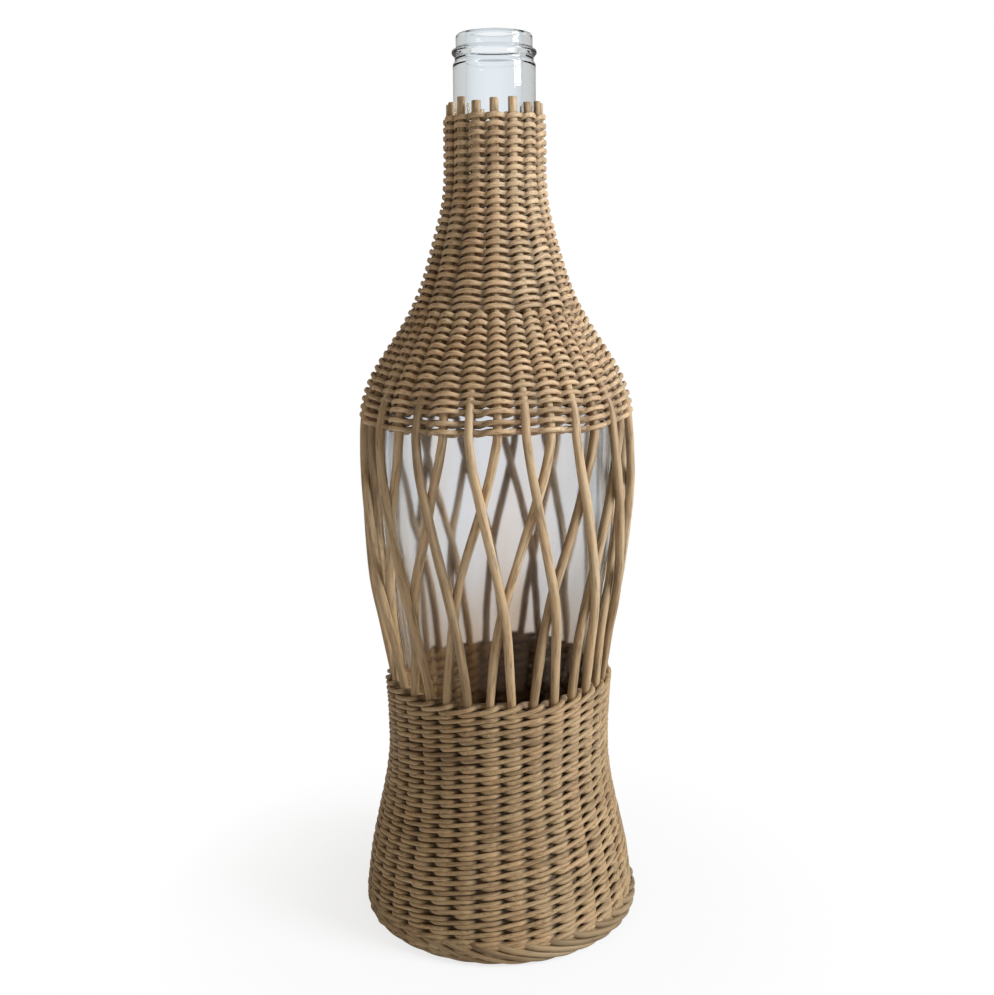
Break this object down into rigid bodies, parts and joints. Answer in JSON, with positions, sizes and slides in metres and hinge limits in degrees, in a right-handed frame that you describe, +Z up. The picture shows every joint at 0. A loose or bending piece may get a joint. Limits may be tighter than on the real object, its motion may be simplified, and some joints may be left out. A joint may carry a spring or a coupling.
{
  "type": "wicker-covered bottle",
  "caption": "Tall waisted bottle of clear glass with an open mouth, held in a woven wicker jacket with crossing stakes between the shoulder weave and the basket.",
  "frame": {"origin": "under the middle of the bottle, on the surface that it stands on", "axes": "+Z up along the bottle's axis towards the mouth; -Y towards the viewer; +X to the viewer's right"},
  "size_m": [0.1048, 0.1048, 0.325],
  "materials": {
    "glass": "gloss",
    "wicker_stake": "satin",
    "wicker_weave": "satin",
    "wicker_basket": "satin",
    "wicker_hidden": "matte"
  },
  "bodies": {
    "root": {"glass_bottle": "glass", "long_stake_01": "wicker_stake", "long_stake_02": "wicker_stake", "long_stake_03": "wicker_stake", "long_stake_04": "wicker_stake", "long_stake_05": "wicker_stake", "long_stake_06": "wicker_stake", "long_stake_07": "wicker_stake", "long_stake_08": "wicker_stake", "long_stake_09": "wicker_stake", "long_stake_10": "wicker_stake", "long_stake_11": "wicker_stake", "long_stake_12": "wicker_stake", "long_stake_13": "wicker_stake", "long_stake_14": "wicker_stake", "long_stake_15": "wicker_stake", "long_stake_16": "wicker_stake", "short_stake_01": "wicker_stake", "short_stake_02": "wicker_stake", "short_stake_03": "wicker_stake", "short_stake_04": "wicker_stake", "short_stake_05": "wicker_stake", "short_stake_06": "wicker_stake", "short_stake_07": "wicker_stake", "short_stake_08": "wicker_stake", "short_stake_09": "wicker_stake", "short_stake_10": "wicker_stake", "short_stake_11": "wicker_stake", "short_stake_12": "wicker_stake", "short_stake_13": "wicker_stake", "short_stake_14": "wicker_stake", "short_stake_15": "wicker_stake", "short_stake_16": "wicker_stake", "shoulder_front_weave": "wicker_weave", "shoulder_back_weave": "wicker_hidden", "basket_front_weave": "wicker_basket", "basket_back_weave": "wicker_hidden"}
  },
  "joints": []
}
